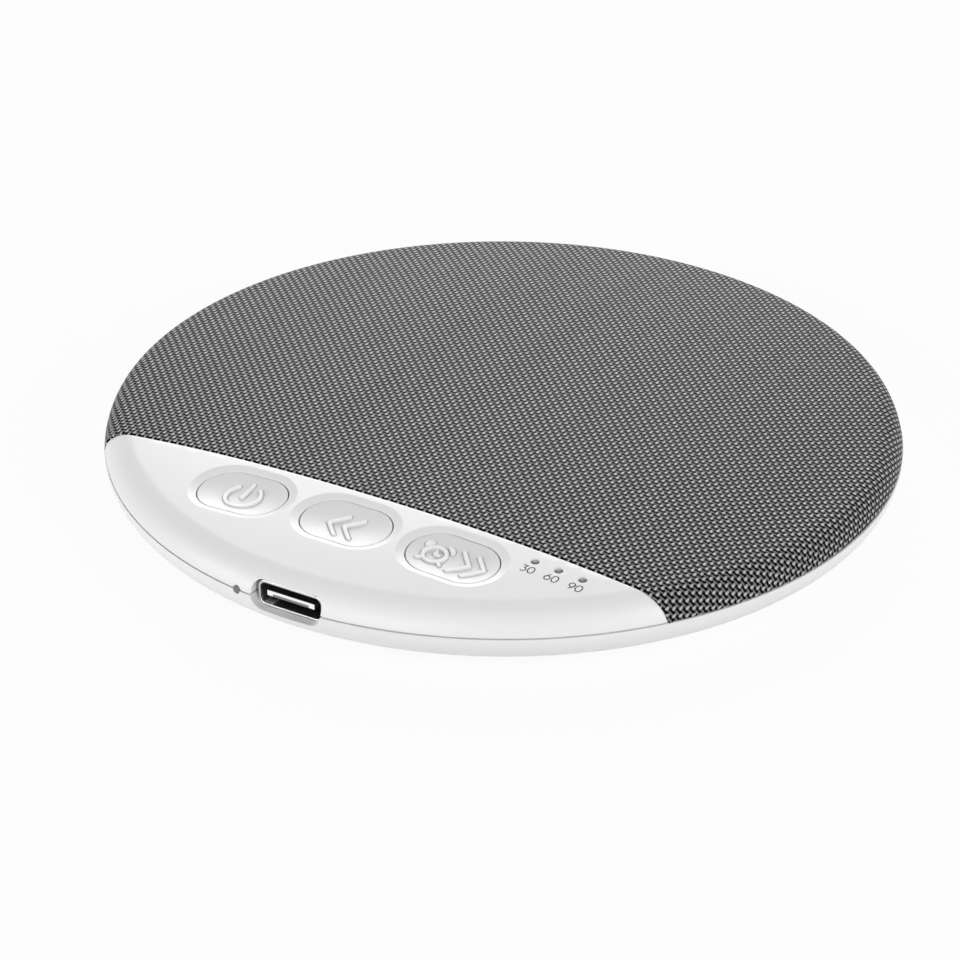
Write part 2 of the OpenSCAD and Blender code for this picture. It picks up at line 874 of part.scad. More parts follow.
module battery_leads() {
    for (s = [0, 1]) color(s == 0 ? "red" : "black") lead([
        [18 + 2 * s, cell_y - cell_w / 2 - 0.1, cell_z + 2.5],
        [18 + 2 * s, -22.6, cell_z + 2.9],
        [18 + 2 * s, -24.6, board_z + 1.5],
        [18 + 2 * s, -25.2, board_z + 0.7],
        [18 + 2 * s, -25.2, board_z + 0.05]
    ]);
}

module speaker_leads() {
    for (s = [0, 1]) color(s == 0 ? "red" : "black") lead([
        [-17.6, 11.4 - 2 * s, base_z + 4.6],
        [-20 - 0.6 * s, 9 - 2 * s, base_z + 3],
        [-27.6 + 1.2 * s, 2 - s, floor_z + 0.7],
        [-27.6 + 1.2 * s, -10, floor_z + 0.6],
        [-27.6 + 1.2 * s, -18, floor_z + 1.4],
        [-28.6 + 1.6 * s, -24, board_z + 1.4],
        [-28.6 + 1.6 * s, -25.2, board_z + 0.7],
        [-28.6 + 1.6 * s, -25.2, board_z + 0.05]
    ]);
}

// ---- Fasteners and feet ----

module screw(at, z_head, d, l, d_head, h_head) {
    cross_w = 0.5;
    translate([at[0], at[1], z_head]) difference() {
        union() {
            cylinder(d = d_head, h = h_head, $fn = 32);
            translate([0, 0, h_head]) cylinder(d = d - 0.02, h = l, $fn = 32);
        }
        for (a = [0, 90]) rotate([0, 0, a])
            translate([0, 0, 0.2]) cube([0.6 * d_head, cross_w, h_head], center = true);
    }
}

module case_screws() {
    color("dimgray") for (p = foot_at) screw(p, well_top - head_h, screw_d, screw_l, head_d, head_h);
}

module board_screws() {
    color("dimgray") for (p = board_screw_at)
        screw(p, board_z - board_t - board_head_h, board_screw_d, board_t + 2.2, board_head_d, board_head_h);
}

module rubber_feet() {
    color("lightgray") for (p = foot_at) translate([p[0], p[1], 0]) {
        cylinder(d1 = foot_d - 0.6, d2 = foot_d, h = 0.3);
        translate([0, 0, 0.3]) cylinder(d = foot_d, h = foot_proud + foot_recess - 0.3);
    }
}

bottom_shell();
top_shell();
grille_plate();
grille_cloth();
power_key();
previous_key();
timer_key();
power_plunger();
previous_plunger();
timer_plunger();
switch_bodies();
main_board();
controller_chip();
memory_chip();
amplifier_chip();
board_capacitors();
usb_shell();
usb_insert();
timer_leds();
timer_light_guides();
charge_led();
charge_light_guide();
speaker_frame();
speaker_yoke();
speaker_magnet();
pole_plate();
voice_coil();
speaker_cone();
cone_surround();
speaker_gasket();
battery_cell();
battery_pad();
battery_leads();
speaker_leads();
case_screws();
board_screws();
rubber_feet();
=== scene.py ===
import json
import math

import bpy
import numpy as np
from mathutils import Matrix, Vector
from mathutils.geometry import delaunay_2d_cdt
from mathutils.kdtree import KDTree


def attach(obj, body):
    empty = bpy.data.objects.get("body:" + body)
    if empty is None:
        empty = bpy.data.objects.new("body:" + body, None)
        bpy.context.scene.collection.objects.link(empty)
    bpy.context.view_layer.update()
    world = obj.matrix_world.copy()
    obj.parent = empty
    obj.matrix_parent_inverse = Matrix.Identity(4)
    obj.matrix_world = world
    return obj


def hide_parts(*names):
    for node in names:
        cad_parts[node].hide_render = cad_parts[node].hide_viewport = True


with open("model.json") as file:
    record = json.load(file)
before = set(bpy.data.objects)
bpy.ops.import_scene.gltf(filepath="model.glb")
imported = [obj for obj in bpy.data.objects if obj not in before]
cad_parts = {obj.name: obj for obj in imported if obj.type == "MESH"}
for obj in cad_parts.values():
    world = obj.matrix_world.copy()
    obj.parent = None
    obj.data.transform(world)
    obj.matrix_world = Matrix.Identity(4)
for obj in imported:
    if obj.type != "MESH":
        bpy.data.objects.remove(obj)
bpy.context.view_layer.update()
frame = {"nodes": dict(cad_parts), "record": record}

# ---- Sizes in millimetres ----
# They are those of the part's source, but for the edge with its shoulder, the dome, the dishes,
# the holes of the lights, the corners of the mouth, the socket and its tongue. These follow the
# photograph.

MM = 0.001
BODY_R = 52.5
EDGE_R = 4.3
SHOULDER_Z = 4.3
DOME_R = 230
CROWN_R = 640
CROWN_X = 25
SEAM_Z = 5.0
SEAM_DEPTH = 0.8
CHORD_Y = -31.45

KEY_Y = -37.76
KEY_SHIFT, KEY_PITCH = -0.36, 15.5
KEY_XS = [KEY_SHIFT + i * KEY_PITCH for i in (-1, 0, 1)]
DISH_L, DISH_W, DISH_DEPTH = 15.2, 10.6, 0.92
CAP_L, CAP_W, CAP_GAP = 12.2, 8.1, 0.15
CAP_HALF = (CAP_L - CAP_W) / 2

LIGHT_X, LIGHT_Y, LIGHT_PITCH = 27.77, -33.7, 3.34
LIGHT_XS = [LIGHT_X + i * LIGHT_PITCH for i in (-1, 0, 1)]
LIGHT_D = 1.14
PIN_R = 0.54
CHARGE_X, CHARGE_D = -7.3, 1.04

MOUTH_W, MOUTH_H, MOUTH_Z, MOUTH_CORNER = 10.15, 3.8, 5.23, 1.25
SOCKET_W, SOCKET_H, SOCKET_Z, SOCKET_CORNER = 9.55, 3.6, 5.18, 1.15
SOCKET_FRONT, SOCKET_REAR = -50.98, -43.75
TONGUE_FRONT, TONGUE_BASE = -50.8, -50.45
TONGUE_HALF, TONGUE_T = 3.42, 0.7

# ---- Camera: the photograph's viewpoint ----

CAMERA_DISTANCE = 0.5091
CAMERA_AZIMUTH, CAMERA_ELEVATION = 30.58, 29.19
CAMERA_TARGET = Vector((0, 0, 0.0004))
CAMERA_PAN, CAMERA_TILT, CAMERA_ROLL = -0.35, 0.29, -0.23
CAMERA_LENS = 144.08


def direction(azimuth, elevation):
    """Unit vector from the object. Azimuth 0 is in front of the panel and 90 on its right."""
    a, e = math.radians(azimuth), math.radians(elevation)
    return Vector((math.sin(a) * math.cos(e), -math.cos(a) * math.cos(e), math.sin(e)))


def add_camera():
    back = direction(CAMERA_AZIMUTH, CAMERA_ELEVATION)
    turn = math.radians(CAMERA_AZIMUTH)
    right = Vector((math.cos(turn), math.sin(turn), 0))
    view = Matrix((right, right.cross(-back), back))
    for axis, angle in (("Y", CAMERA_PAN), ("X", CAMERA_TILT), ("Z", CAMERA_ROLL)):
        view = Matrix.Rotation(math.radians(angle), 3, axis) @ view
    data = bpy.data.cameras.new("camera")
    data.sensor_width = 36
    data.lens = CAMERA_LENS
    data.clip_start, data.clip_end = 0.01, 20
    camera = bpy.data.objects.new("camera", data)
    place = Matrix.Translation(CAMERA_TARGET + CAMERA_DISTANCE * back)
    camera.matrix_world = place @ view.transposed().to_4x4()
    bpy.context.scene.collection.objects.link(camera)
    bpy.context.scene.camera = camera


# ---- Light, floor and background ----

WORLD_LEVEL = 0.262
FLOOR_SIDE, FLOOR_DROP = 3.0, 0.00003
FLOOR_SHADOW = 0.08
LAMP_DISTANCE, LAMP_SIDE = 0.9, 0.5
LAMPS = [("back", 210, 25, 4.4), ("right", 90, 25, 4.4), ("front_left", -45, 12, 3.0),
         ("front", -4, 16, 2.4)]


def area_light(name, azimuth, elevation, power):
    data = bpy.data.lights.new(name, "AREA")
    data.shape = "SQUARE"
    data.size = LAMP_SIDE
    data.energy = power
    lamp = bpy.data.objects.new(name, data)
    back = direction(azimuth, elevation)
    lamp.location = back * LAMP_DISTANCE
    lamp.rotation_euler = (-back).to_track_quat("-Z", "Y").to_euler()
    bpy.context.scene.collection.objects.link(lamp)


def seen_through(tree):
    """1 where a camera, glossy or transmission ray looks."""
    ray = tree.nodes.new("ShaderNodeLightPath")
    total = ray.outputs["Is Camera Ray"]
    for name in ("Is Glossy Ray", "Is Transmission Ray"):
        add = tree.nodes.new("ShaderNodeMath")
        add.operation = "MAXIMUM"
        tree.links.new(total, add.inputs[0])
        tree.links.new(ray.outputs[name], add.inputs[1])
        total = add.outputs[0]
    return total


def set_world():
    """Even light from all round, in front of a white background."""
    world = bpy.data.worlds.new("studio")
    world.use_nodes = True
    tree = world.node_tree
    tree.nodes.clear()
    out = tree.nodes.new("ShaderNodeOutputWorld")
    mix = tree.nodes.new("ShaderNodeMixShader")
    tree.links.new(seen_through(tree), mix.inputs[0])
    for socket, strength in ((mix.inputs[1], WORLD_LEVEL), (mix.inputs[2], 1)):
        background = tree.nodes.new("ShaderNodeBackground")
        background.inputs["Color"].default_value = (1, 1, 1, 1)
        background.inputs["Strength"].default_value = strength
        tree.links.new(background.outputs[0], socket)
    tree.links.new(mix.outputs[0], out.inputs[0])
    bpy.context.scene.world = world


def floor_material():
    """Pale floor that keeps a share of the shadow, and looks white beyond it."""
    material = bpy.data.materials.new("floor_sweep")
    material.use_nodes = True
    tree = material.node_tree
    tree.nodes.clear()
    out = tree.nodes.new("ShaderNodeOutputMaterial")
    mix = tree.nodes.new("ShaderNodeMixShader")
    matte = tree.nodes.new("ShaderNodeBsdfDiffuse")
    glow = tree.nodes.new("ShaderNodeEmission")
    share = tree.nodes.new("ShaderNodeMath")
    share.operation = "MULTIPLY"
    share.inputs[1].default_value = 1 - FLOOR_SHADOW
    matte.inputs["Color"].default_value = (0.92, 0.92, 0.92, 1)
    glow.inputs["Strength"].default_value = 1
    tree.links.new(seen_through(tree), share.inputs[0])
    tree.links.new(share.outputs[0], mix.inputs[0])
    tree.links.new(matte.outputs[0], mix.inputs[1])
    tree.links.new(glow.outputs[0], mix.inputs[2])
    tree.links.new(mix.outputs[0], out.inputs[0])
    return material


def add_floor():
    half, low = FLOOR_SIDE / 2, -FLOOR_DROP
    mesh = bpy.data.meshes.new("floor")
    corners = [(-half, -half, low), (half, -half, low), (half, half, low), (-half, half, low)]
    mesh.from_pydata(corners, [], [(0, 1, 2, 3)])
    mesh.materials.append(floor_material())
    floor = bpy.data.objects.new("floor", mesh)
    bpy.context.scene.collection.objects.link(floor)


# ---- Procedural materials ----

class Recipe:
    """A material under construction: one Principled shader and the nodes that feed it."""

    def __init__(self, name, rough, metallic=0.0):
        self.material = bpy.data.materials.new(name)
        self.material.use_nodes = True
        self.tree = self.material.node_tree
        self.shader = self.tree.nodes["Principled BSDF"]
        self.shader.inputs["Roughness"].default_value = rough
        self.shader.inputs["Metallic"].default_value = metallic

    def node(self, kind, **settings):
        made = self.tree.nodes.new("ShaderNode" + kind)
        for key, value in settings.items():
            setattr(made, key, value)
        return made

    def feed(self, source, target):
        if isinstance(source, (int, float)):
            target.default_value = source
        elif isinstance(source, tuple):
            target.default_value = (*source, 1)
        else:
            self.tree.links.new(source, target)

    def math(self, operation, *values):
        made = self.node("Math", operation=operation)
        for i, value in enumerate(values):
            self.feed(value, made.inputs[i])
        return made.outputs[0]

    def mix(self, factor, low, high):
        """Between two numbers or two colours."""
        if isinstance(low, (int, float)) and isinstance(high, (int, float)):
            return self.math("MULTIPLY_ADD", factor, high - low, low)
        made = self.node("Mix", data_type="RGBA")
        self.feed(factor, made.inputs["Factor"])
        self.feed(low, made.inputs[6])
        self.feed(high, made.inputs[7])
        return made.outputs[2]

    def noise(self, per_metre, detail=2.0, stretch=None):
        spot = self.node("TexCoord").outputs["Object"]
        if stretch:
            mapping = self.node("Mapping")
            mapping.inputs["Scale"].default_value = stretch
            self.tree.links.new(spot, mapping.inputs["Vector"])
            spot = mapping.outputs["Vector"]
        made = self.node("TexNoise")
        made.inputs["Scale"].default_value = per_metre
        made.inputs["Detail"].default_value = detail
        self.tree.links.new(spot, made.inputs["Vector"])
        return made.outputs["Fac"]

    def map_axes(self, name):
        """The two numbers that the mesh's map of that name holds."""
        source = self.node("UVMap", uv_map=name)
        split = self.node("SeparateXYZ")
        self.tree.links.new(source.outputs["UV"], split.inputs[0])
        return split.outputs[0], split.outputs[1]

    def color(self, source):
        self.tree.links.new(source, self.shader.inputs["Base Color"])

    def rough(self, source):
        self.tree.links.new(source, self.shader.inputs["Roughness"])

    def bump(self, height, depth):
        made = self.node("Bump")
        made.inputs["Distance"].default_value = depth
        made.inputs["Strength"].default_value = 1.0
        self.tree.links.new(height, made.inputs["Height"])
        self.tree.links.new(made.outputs["Normal"], self.shader.inputs["Normal"])
        return self.material


def plastic(name, low, high, rough, grain=5000, depth=0.000004):
    """Moulded plastic: a faint drift of tone, and a fine spark-eroded grain."""
    made = Recipe(name, rough)
    made.color(made.mix(made.noise(60), low, high))
    made.rough(made.mix(made.noise(900, 4), rough - 0.05, rough + 0.05))
    return made.bump(made.noise(grain, 3), depth)


def metal(name, low, high, rough, stretch=None):
    """Plated or rolled metal, with its grain drawn out along one axis where it is rolled."""
    made = Recipe(name, rough, 1.0)
    made.color(made.mix(made.noise(400, 3, stretch), low, high))
    made.rough(made.mix(made.noise(1500, 4, stretch), rough - 0.06, rough + 0.08))
    return made.bump(made.noise(3000, 3, stretch), 0.000002)


def key_plastic_painted_light(name, floor, top):
    """Satin key. Its colour is painted darker than the case, as painted shade in its bowl. The map
    named sign holds 1 on the tops of the raised signs, which are painted lighter, as painted light.
    """
    made = Recipe(name, 0.4)
    share, _ = made.map_axes("sign")
    # Painted shade and light: floor is the cap's colour, darker than the case as shade in the bowl,
    # and top is the lighter colour painted on the sign tops
    made.color(made.mix(share, floor, top))
    made.rough(made.mix(made.noise(900, 4), 0.35, 0.45))
    return made.bump(made.noise(5000, 3), 0.000004)


THREAD = 0.646
# One float of the warp, in threads: a round head in front of its middle and a slim, lower tail
HEAD_W, HEAD_L = 0.40, 0.38
TAIL_W, TAIL_HEIGHT = 0.22, 0.6
# One float of the weft, which shows between the heads
WEFT_W, WEFT_L, WEFT_HEIGHT = 0.24, 0.7, 0.6
# Painted shade: the colour in the gaps between threads, then the colours at the crowns of the warp
# and the weft
GAP_PAINTED_SHADE, WARP_LIGHT, WEFT_LIGHT = 0.002, 0.54, 0.40
CROWN_HEIGHT = 0.00024


def woven(name):
    """Plain weave. Its colour is painted darker where each float is lower, as painted shade that is
    darkest in the gaps between the threads. The map named weave holds each point's place on the flat
    cloth, in threads.
    """
    made = Recipe(name, 0.45)
    u, v = made.map_axes("weave")
    column, row = made.math("ROUND", u), made.math("ROUND", v)

    def bead(across, half_width, along, half_length):
        """Round back of one float: 1 on its middle and 0 from its outline on."""
        a, b = made.math("DIVIDE", across, half_width), made.math("DIVIDE", along, half_length)
        reach = made.math("ADD", made.math("MULTIPLY", a, a), made.math("MULTIPLY", b, b))
        return made.math("SQRT", made.math("MAXIMUM", made.math("SUBTRACT", 1.0, reach), 0.0))

    t = made.math("WRAP", made.math("ADD", v, column), 1.0, -1.0)
    tail = made.math("MAXIMUM", t, 0.0)
    along = made.math("MAXIMUM", t, made.math("DIVIDE", t, -HEAD_L))
    warp = bead(made.math("SUBTRACT", u, column), made.mix(tail, HEAD_W, TAIL_W), along, 1.0)
    warp = made.math("MULTIPLY", warp, made.mix(tail, 1.0, TAIL_HEIGHT))
    s = made.math("PINGPONG", made.math("ADD", u, row), 1.0)
    weft = bead(made.math("SUBTRACT", v, row), WEFT_W, made.math("SUBTRACT", 1.0, s), WEFT_L)
    weft = made.math("MULTIPLY", weft, WEFT_HEIGHT)

    uneven = made.node("TexWhiteNoise", noise_dimensions="1D")
    made.tree.links.new(column, uneven.inputs["W"])
    tone = made.mix(uneven.outputs["Value"], 0.92, 1.05)
    fibre = made.mix(made.noise(9000, 3), 0.88, 1.12)
    on_top = made.math("GREATER_THAN", warp, weft)
    crown = made.math("MAXIMUM", warp, weft)
    # Painted shade: each float's colour follows its height, dark at its outline and in the gaps, and
    # lightest at its crown
    light = made.math("MULTIPLY", made.math("MULTIPLY", crown, tone), fibre)
    bright = made.mix(light, (GAP_PAINTED_SHADE,) * 3, (WARP_LIGHT,) * 3)
    dim = made.mix(light, (GAP_PAINTED_SHADE,) * 3, (WEFT_LIGHT,) * 3)
    made.color(made.mix(on_top, dim, bright))
    made.feed(made.mix(made.math("MULTIPLY", light, on_top), 0.025, 0.5),
              made.shader.inputs["Specular IOR Level"])
    return made.bump(crown, CROWN_HEIGHT)


MATERIALS = {
    "white_case": plastic("white_abs", (0.80, 0.80, 0.80), (0.815, 0.815, 0.815), 0.38),
    # Keys: darker than the case as painted shade in their bowls, with the sign tops painted lighter
    # as painted light
    "white_keys": key_plastic_painted_light("white_key_abs_painted_shade", (0.74, 0.74, 0.74), (0.86, 0.86, 0.86)),
    "grille_cloth": woven("woven_polyester"),
    "grille_plate": plastic("black_grille_abs", (0.02, 0.02, 0.02), (0.03, 0.03, 0.03), 0.5),
    "black_plastic": plastic("black_lcp", (0.006, 0.006, 0.006), (0.012, 0.012, 0.012), 0.4),
    "board": plastic("solder_mask", (0.01, 0.11, 0.04), (0.015, 0.15, 0.06), 0.25, 2500),
    "ceramic": plastic("fired_ceramic", (0.42, 0.31, 0.2), (0.5, 0.38, 0.25), 0.6),
    "steel": metal("nickel_plated_steel", (0.58, 0.58, 0.57), (0.68, 0.68, 0.67), 0.2),
    "dark_steel": metal("blackened_steel", (0.04, 0.04, 0.045), (0.07, 0.07, 0.075), 0.42),
    "magnet": metal("nickel_magnet", (0.5, 0.5, 0.49), (0.6, 0.6, 0.58), 0.3),
    "copper": metal("enamelled_copper", (0.55, 0.24, 0.1), (0.66, 0.3, 0.13), 0.3, (1, 1, 30)),
    "cone": plastic("pressed_film", (0.02, 0.02, 0.02), (0.035, 0.035, 0.035), 0.5, 1500),
    "rubber": plastic("surround_rubber", (0.02, 0.02, 0.02), (0.03, 0.03, 0.03), 0.65, 2500),
    "foam": plastic("closed_foam", (0.03, 0.03, 0.03), (0.07, 0.07, 0.07), 0.85, 1200, 0.00004),
    "feet": plastic("pale_rubber", (0.48, 0.48, 0.48), (0.55, 0.55, 0.55), 0.7, 2500, 0.00001),
    "lens": plastic("smoked_lens", (0.15, 0.15, 0.15), (0.17, 0.17, 0.17), 0.35),
    "led": plastic("diode", (0.8, 0.78, 0.62), (0.85, 0.83, 0.7), 0.3),
    "cell": metal("foil_pouch", (0.6, 0.6, 0.61), (0.72, 0.72, 0.73), 0.35),
    "lead": plastic("wire_jacket", (0.3, 0.02, 0.02), (0.38, 0.03, 0.03), 0.45),
}
TIN = metal("tinned_edge", (0.8, 0.8, 0.8), (0.9, 0.9, 0.9), 0.5)
GREY_LCP = plastic("grey_lcp", (0.17, 0.17, 0.17), (0.2, 0.2, 0.2), 0.4)
INK = plastic("printed_ink", (0.03, 0.03, 0.03), (0.045, 0.045, 0.045), 0.6)

# ---- The skin: a surface of revolution, known by the distance along it from the middle ----
# Its flat map holds each point at that distance from the middle, in the point's own direction.


def skin_profile():
    """Radius, height and distance along the section, from the middle of the crown to the seam."""
    edge_x = BODY_R - EDGE_R
    crown_a = math.asin(CROWN_X / CROWN_R)
    dome_x = CROWN_X * (1 - DOME_R / CROWN_R)
    dome_z = SHOULDER_Z - math.sqrt((DOME_R - EDGE_R) ** 2 - (edge_x - dome_x) ** 2)
    crown_z = dome_z - (CROWN_R - DOME_R) * math.cos(crown_a)
    edge_a = math.asin((edge_x - dome_x) / (DOME_R - EDGE_R))
    spots = []
    for x, z, radius, a0, a1, count in (
            (0, crown_z, CROWN_R, 0, crown_a, 300), (dome_x, dome_z, DOME_R, crown_a, edge_a, 400),
            (edge_x, SHOULDER_Z, EDGE_R, edge_a, math.pi / 2, 240)):
        a = np.linspace(a0, a1, count)
        spots.append(np.column_stack([x + radius * np.sin(a), z + radius * np.cos(a)]))
    spots.append(np.column_stack([np.full(9, BODY_R), np.linspace(SHOULDER_Z, SHOULDER_Z - 1, 9)]))
    spots = np.concatenate(spots)
    s = np.concatenate([[0], np.cumsum(np.hypot(*np.diff(spots, axis=0).T))])
    keep = np.concatenate([[True], np.diff(s) > 1e-9])
    edge_r = edge_x + EDGE_R * math.sin(edge_a)
    return spots[keep, 0], spots[keep, 1], s[keep], dome_x, edge_r


SKIN_R, SKIN_Z, SKIN_S, DOME_X, EDGE_START = skin_profile()
SEAM_S = float(np.interp(-SEAM_Z, -SKIN_Z, SKIN_S))
EDGE_S = float(np.interp(EDGE_START, SKIN_R, SKIN_S))


def on_map(x, y):
    """Plan position to the flat map of the skin, for points inside the rim."""
    r = np.hypot(x, y)
    k = np.interp(r, SKIN_R, SKIN_S) / np.maximum(r, 1e-9)
    return np.stack([x * k, y * k], -1)


def rim_on_map(x, z):
    """Point on the front of the rim, known by its x and its height, to the flat map."""
    s = np.interp(-z, -SKIN_Z, SKIN_S)
    r = np.interp(s, SKIN_S, SKIN_R)
    y = -np.sqrt(r * r - x * x)
    return np.stack([x * s / r, y * s / r], -1)


def on_skin(uv):
    """Points and normals of the skin at places on its flat map."""
    s = np.hypot(uv[:, 0], uv[:, 1])
    way = uv / np.maximum(s, 1e-9)[:, None]
    r, z = np.interp(s, SKIN_S, SKIN_R), np.interp(s, SKIN_S, SKIN_Z)
    step = 0.02
    dr = np.interp(s + step, SKIN_S, SKIN_R) - np.interp(s - step, SKIN_S, SKIN_R)
    dz = np.interp(s + step, SKIN_S, SKIN_Z) - np.interp(s - step, SKIN_S, SKIN_Z)
    length = np.maximum(np.hypot(dr, dz), 1e-12)
    points = np.column_stack([way * r[:, None], z])
    normals = np.column_stack([way * (-dz / length)[:, None], dr / length])
    return points, normals


def skin_height(x, y):
    return np.interp(np.hypot(x, y), SKIN_R, SKIN_Z)


# ---- Outlines ----

def unit(v):
    return v / np.maximum(np.linalg.norm(v, axis=-1, keepdims=True), 1e-12)


def level(ways):
    """Plan vectors as level ones in space."""
    return np.column_stack([ways, np.zeros(len(ways))])


def from_middle(spots, half_x, half_y=0.0):
    """Vectors to the spots from the nearest point of a rectangle round the origin."""
    return np.sign(spots) * np.maximum(np.abs(spots) - [half_x, half_y], 0)


def circle(count):
    a = np.linspace(0, 2 * math.pi, count, endpoint=False)
    return np.column_stack([np.cos(a), np.sin(a)])


def stadium(length, width, count, grow=0.0):
    """Closed outline of a slot round the origin, in plan."""
    half, r = (length - width) / 2, width / 2 + grow
    around, straight = math.pi * r, 2 * half
    spots = np.arange(count) / count * (2 * around + 2 * straight)
    out = []
    for t in spots:
        if t < straight:
            out.append((-half + t, -r))
        elif t < straight + around:
            a = (t - straight) / r - math.pi / 2
            out.append((half + r * math.cos(a), r * math.sin(a)))
        elif t < 2 * straight + around:
            out.append((half - (t - straight - around), r))
        else:
            a = (t - 2 * straight - around) / r + math.pi / 2
            out.append((-half + r * math.cos(a), r * math.sin(a)))
    return np.array(out)


def in_stadium(x, y, length, width, grow=0.0):
    return np.hypot(np.maximum(np.abs(x) - (length - width) / 2, 0), y) < width / 2 + grow


def rounded_box(length, width, corner, grow=0.0, per_corner=16, per_side=30):
    """Closed outline of a rectangle with round corners, with the same count at every grow."""
    a, b, r = length / 2 - corner, width / 2 - corner, corner + grow
    arcs = []
    for turn, (sx, sy) in enumerate(((1, 1), (-1, 1), (-1, -1), (1, -1))):
        t = np.linspace(0, math.pi / 2, per_corner) + turn * math.pi / 2
        arcs.append(np.column_stack([sx * a + r * np.cos(t), sy * b + r * np.sin(t)]))
    out = []
    for arc, following in zip(arcs, arcs[1:] + arcs[:1]):
        out += [arc, np.linspace(arc[-1], following[0], per_side)[1:-1]]
    return np.concatenate(out)


def in_polygon(spots, outline):
    """Even-odd test of many points against one closed outline."""
    inside = np.zeros(len(spots), dtype=bool)
    x, y = spots[:, 0], spots[:, 1]
    for (x0, y0), (x1, y1) in zip(outline, np.roll(outline, -1, axis=0)):
        if y0 != y1:
            inside ^= ((y0 > y) != (y1 > y)) & (x < (x1 - x0) * (y - y0) / (y1 - y0) + x0)
    return inside


# ---- The bowls that the keys lie in ----

BOWL_R = ((DISH_W / 2) ** 2 + DISH_DEPTH ** 2) / (2 * DISH_DEPTH)
BOWL_HALF = (DISH_L - DISH_W) / 2
BOWL_CORNER = 0.035


def bowl_frame(x):
    """Middle and axes of a key's bowl. The third axis is square to the dome there."""
    r = math.hypot(x, KEY_Y)
    bearing, lean = math.atan2(KEY_Y, x), math.asin((r - DOME_X) / DOME_R)
    turn = (Matrix.Rotation(bearing, 3, "Z") @ Matrix.Rotation(lean, 3, "Y")
            @ Matrix.Rotation(-bearing, 3, "Z"))
    return np.array([x, KEY_Y, float(skin_height(x, KEY_Y))]), np.array(turn)


def bowl_floor(local):
    """Height of the bowl's surface in its own frame."""
    beyond = np.maximum(np.abs(local[:, 0]) - BOWL_HALF, 0)
    inside = np.maximum(BOWL_R ** 2 - beyond ** 2 - local[:, 1] ** 2, 0)
    return BOWL_R - DISH_DEPTH - np.sqrt(inside)


def smooth_positive(value, width):
    """max(value, 0) with a rounded corner."""
    return 0.5 * (value + np.sqrt(value * value + width * width)) - 0.5 * width * np.exp(
        -np.abs(value) / width)


def bowl_drop(points, x):
    """How far each point sinks, and against which direction, for the key's bowl."""
    origin, turn = bowl_frame(x)
    local = (points - origin) @ turn
    return smooth_positive(local[:, 2] - bowl_floor(local), BOWL_CORNER), turn[:, 2]


def bowl_rim(x):
    """Where the bowl meets the dome, in plan, and the way out of the bowl at each point."""
    origin, turn = bowl_frame(x)
    rim = stadium(DISH_L, DISH_W, 180) + [x, KEY_Y]
    for _ in range(30):
        points, _normals = on_skin(on_map(*rim.T))
        local = (points - origin) @ turn
        out = unit(from_middle(rim - [x, KEY_Y], BOWL_HALF))
        rim = rim + 2.5 * (local[:, 2] - bowl_floor(local))[:, None] * out
    return rim, out


# ---- Mesh making ----

DOWN = np.array([0.0, 0.0, -1.0])
SHARP_ANGLE = math.radians(40)


def hex_grid(low, high, step):
    rows = []
    for j, y in enumerate(np.arange(low[1], high[1], step * math.sqrt(3) / 2)):
        x = np.arange(low[0] + (j % 2) * step / 2, high[0], step)
        rows.append(np.column_stack([x, np.full(len(x), y)]))
    return np.concatenate(rows)


def arcs_at(places, start, end, step):
    """Points on arcs round the middle of the map, at the given distances from it."""
    out = []
    for s in places:
        a = np.linspace(start, end, int((end - start) * s / step))
        out.append(s * np.column_stack([np.cos(a), np.sin(a)]))
    return np.concatenate(out)


def thinned(layers):
    """Point sets from the most important on, each with its own least distance to the earlier ones."""
    kept = []
    for points, clear in layers:
        if kept and clear > 0:
            tree = KDTree(len(kept))
            for i, p in enumerate(kept):
                tree.insert((p[0], p[1], 0), i)
            tree.balance()
            points = [p for p in points if tree.find((p[0], p[1], 0))[2] > clear]
        kept.extend(tuple(p) for p in points)
    return kept


def turned(loop, sense):
    """The closed loop in the given sense: 1 is anticlockwise and -1 is clockwise."""
    x, y = loop.T
    area = np.sum(x * np.roll(y, -1) - y * np.roll(x, -1))
    return loop if area * sense > 0 else loop[::-1]


def triangulate(outer, holes, layers):
    """Triangles inside the outer loop and outside the holes, and the corners on each loop."""
    loops = [turned(outer, 1)] + [turned(hole, -1) for hole in holes]
    edges, first, runs = [], [], []
    for loop in loops:
        start, n = len(first), len(loop)
        edges += [(start + i, start + (i + 1) % n) for i in range(n)]
        runs.append(range(start, start + n))
        first.extend(loop)
    points = thinned([(first, 0), *layers])
    found = delaunay_2d_cdt([Vector(p) for p in points], edges, [], 0, 1e-7)
    spots = np.array([tuple(p) for p in found[0]])
    where = {i: out for out, ins in enumerate(found[3]) for i in ins}
    triangles = np.array([f for f in found[2] if len(f) == 3])
    middle = spots[triangles].mean(axis=1)
    good = in_polygon(middle, outer)
    for hole in holes:
        good &= ~in_polygon(middle, hole)
    triangles = triangles[good]
    on_loops = [[where[i] for i in run] for run in runs]
    used = np.unique(np.concatenate([triangles.ravel(), *on_loops]))
    fresh = np.full(len(spots), -1)
    fresh[used] = np.arange(len(used))
    return spots[used], fresh[triangles], [list(fresh[loop]) for loop in on_loops]


